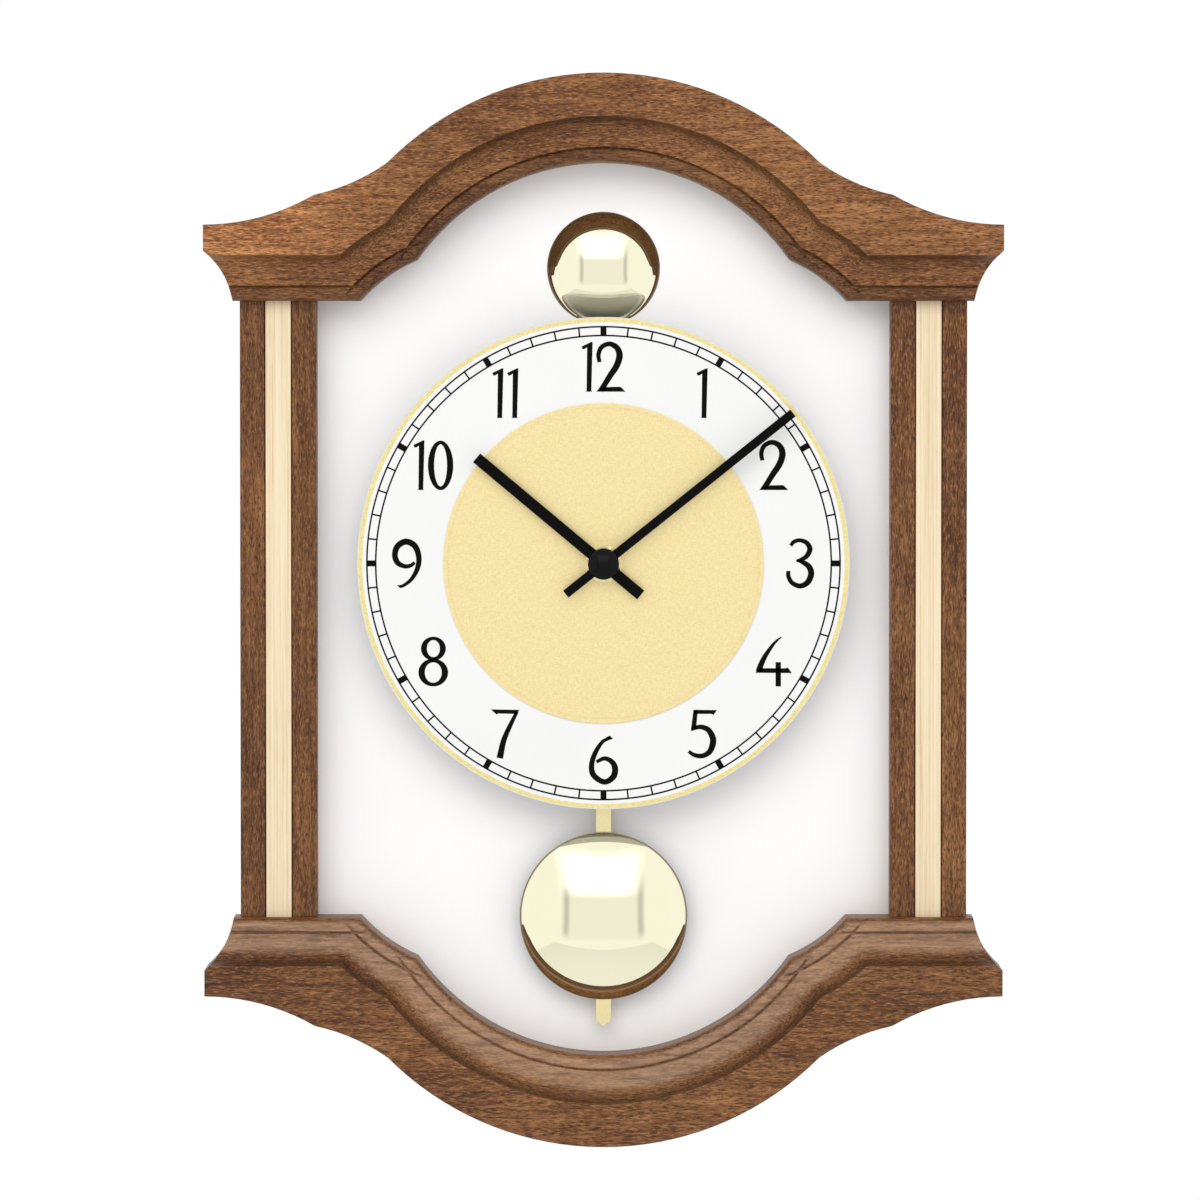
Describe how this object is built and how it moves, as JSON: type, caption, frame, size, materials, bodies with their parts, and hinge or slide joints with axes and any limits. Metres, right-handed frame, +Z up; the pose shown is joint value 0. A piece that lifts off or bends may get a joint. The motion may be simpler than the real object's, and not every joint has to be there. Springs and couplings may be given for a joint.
{
  "type": "wall clock",
  "caption": "Pendulum wall clock with a curved moulded wooden case, round glass dial, baton hands and a domed brass bob.",
  "frame": {"origin": "centre of the hanger's round keyhole entry, in the plane of the wall", "axes": "+X to the viewer's right, +Y into the wall, +Z up"},
  "size_m": [0.2528, 0.052, 0.34],
  "materials": {
    "walnut": "satin walnut with open grain",
    "maple": "pale satin maple",
    "beech": "raw beech",
    "panel_lacquer": "fine pale silver lacquer on a board",
    "polished_brass": "mirror polished brass",
    "satin_gold": "fine grained pale gold",
    "brass": "plain brass",
    "glass_dial": "clear glass with a white rear coat",
    "steel": "zinc plated steel",
    "black_lacquer": "gloss black",
    "black_plastic": "moulded black plastic",
    "grey_plastic": "moulded grey plastic",
    "white_plastic": "acetal",
    "circuit_green": "solder resist",
    "copper": "enamelled copper wire",
    "magnet": "ferrite",
    "soft_iron": "soft iron",
    "battery_sleeve": "plain printed sleeve"
  },
  "bodies": {
    "case": {"top_crest": "walnut", "bottom_crest": "walnut", "left_column": "walnut", "right_column": "walnut", "left_inlay_strip": "maple", "right_inlay_strip": "maple", "top_rail": "walnut", "bottom_rail": "walnut", "column_dowels": "beech", "case_screws": "steel", "back_panel": "panel_lacquer", "hanger_plate": "steel", "hanger_screws": "steel", "upper_dome": "polished_brass", "dome_stud": "brass", "dome_nut": "steel", "dial_glass": "glass_dial", "dial_center_disc": "satin_gold", "dial_spacer": "grey_plastic", "dial_washer": "brass", "center_nut": "brass", "movement_front_case": "black_plastic", "movement_rear_cover": "grey_plastic", "gear_bridge": "black_plastic", "movement_screws": "steel", "motor_core": "soft_iron", "motor_bobbin": "white_plastic", "motor_winding": "copper", "motor_stator": "soft_iron", "circuit_board": "circuit_green", "control_chip": "black_plastic", "quartz_crystal": "steel", "drive_coil": "copper", "battery_contact_positive": "steel", "battery_contact_negative": "steel", "pivot_pin": "steel", "pivot_clip": "steel"},
    "minute_hand": {"minute_hand": "black_lacquer", "cannon_arbor": "brass", "cap_nut": "black_lacquer"},
    "hour_hand": {"hour_hand": "black_lacquer", "hour_wheel": "white_plastic"},
    "motion_wheel": {"motion_wheel": "white_plastic"},
    "setting_knob": {"setting_knob": "black_plastic", "setting_pinion": "white_plastic"},
    "seconds_wheel": {"seconds_wheel": "white_plastic"},
    "intermediate_wheel": {"intermediate_wheel": "white_plastic"},
    "rotor": {"rotor_pinion": "white_plastic", "rotor_magnet": "magnet"},
    "third_wheel": {"third_wheel": "white_plastic"},
    "center_drive_wheel": {"center_drive_wheel": "white_plastic"},
    "pendulum": {"pendulum_hanger": "black_plastic", "drive_magnet": "magnet", "pendulum_rod": "brass", "bob_shell": "polished_brass", "bob_backing": "black_plastic", "bob_clip": "steel"},
    "battery": {"battery": "battery_sleeve"}
  },
  "joints": [
    {"name": "minute_spin", "type": "hinge", "parent": "case", "child": "minute_hand", "pos_m": [0, -0.047, -0.0922], "axis": [0, 1, 0], "continuous": true},
    {"name": "hour_spin", "type": "hinge", "parent": "case", "child": "hour_hand", "pos_m": [0, -0.045, -0.0922], "axis": [0, 1, 0], "continuous": true},
    {"name": "motion_wheel_spin", "type": "hinge", "parent": "case", "child": "motion_wheel", "pos_m": [0.0036, -0.017, -0.09843], "axis": [0, 1, 0], "continuous": true},
    {"name": "setting_spin", "type": "hinge", "parent": "case", "child": "setting_knob", "pos_m": [0.01093, -0.003, -0.1011], "axis": [0, 1, 0], "continuous": true},
    {"name": "seconds_spin", "type": "hinge", "parent": "case", "child": "seconds_wheel", "pos_m": [0, -0.0085, -0.0922], "axis": [0, 1, 0], "continuous": true},
    {"name": "intermediate_spin", "type": "hinge", "parent": "case", "child": "intermediate_wheel", "pos_m": [-0.00624, -0.007, -0.0886], "axis": [0, 1, 0], "continuous": true},
    {"name": "rotor_spin", "type": "hinge", "parent": "case", "child": "rotor", "pos_m": [-0.01195, -0.009, -0.0853], "axis": [0, 1, 0], "continuous": true},
    {"name": "third_spin", "type": "hinge", "parent": "case", "child": "third_wheel", "pos_m": [0.00767, -0.011, -0.08941], "axis": [0, 1, 0], "continuous": true},
    {"name": "center_drive_spin", "type": "hinge", "parent": "case", "child": "center_drive_wheel", "pos_m": [0, -0.0147, -0.0922], "axis": [0, 1, 0], "continuous": true},
    {"name": "pendulum_swing", "type": "hinge", "parent": "case", "child": "pendulum", "pos_m": [0, -0.03, -0.0702], "axis": [0, 1, 0], "range_deg": [-7, 7]},
    {"name": "battery_slide", "type": "slide", "parent": "case", "child": "battery", "axis": [0, 1, 0], "range_m": [0, 0.03]}
  ],
  "couplings": [
    {"joint": "hour_spin", "follows": "minute_spin", "ratio": 0.083333},
    {"joint": "motion_wheel_spin", "follows": "minute_spin", "ratio": -0.33333},
    {"joint": "setting_spin", "follows": "minute_spin", "ratio": 0.75},
    {"joint": "intermediate_spin", "follows": "seconds_spin", "ratio": -3},
    {"joint": "rotor_spin", "follows": "seconds_spin", "ratio": 30},
    {"joint": "third_spin", "follows": "seconds_spin", "ratio": -0.13333},
    {"joint": "center_drive_spin", "follows": "seconds_spin", "ratio": 0.016667}
  ]
}
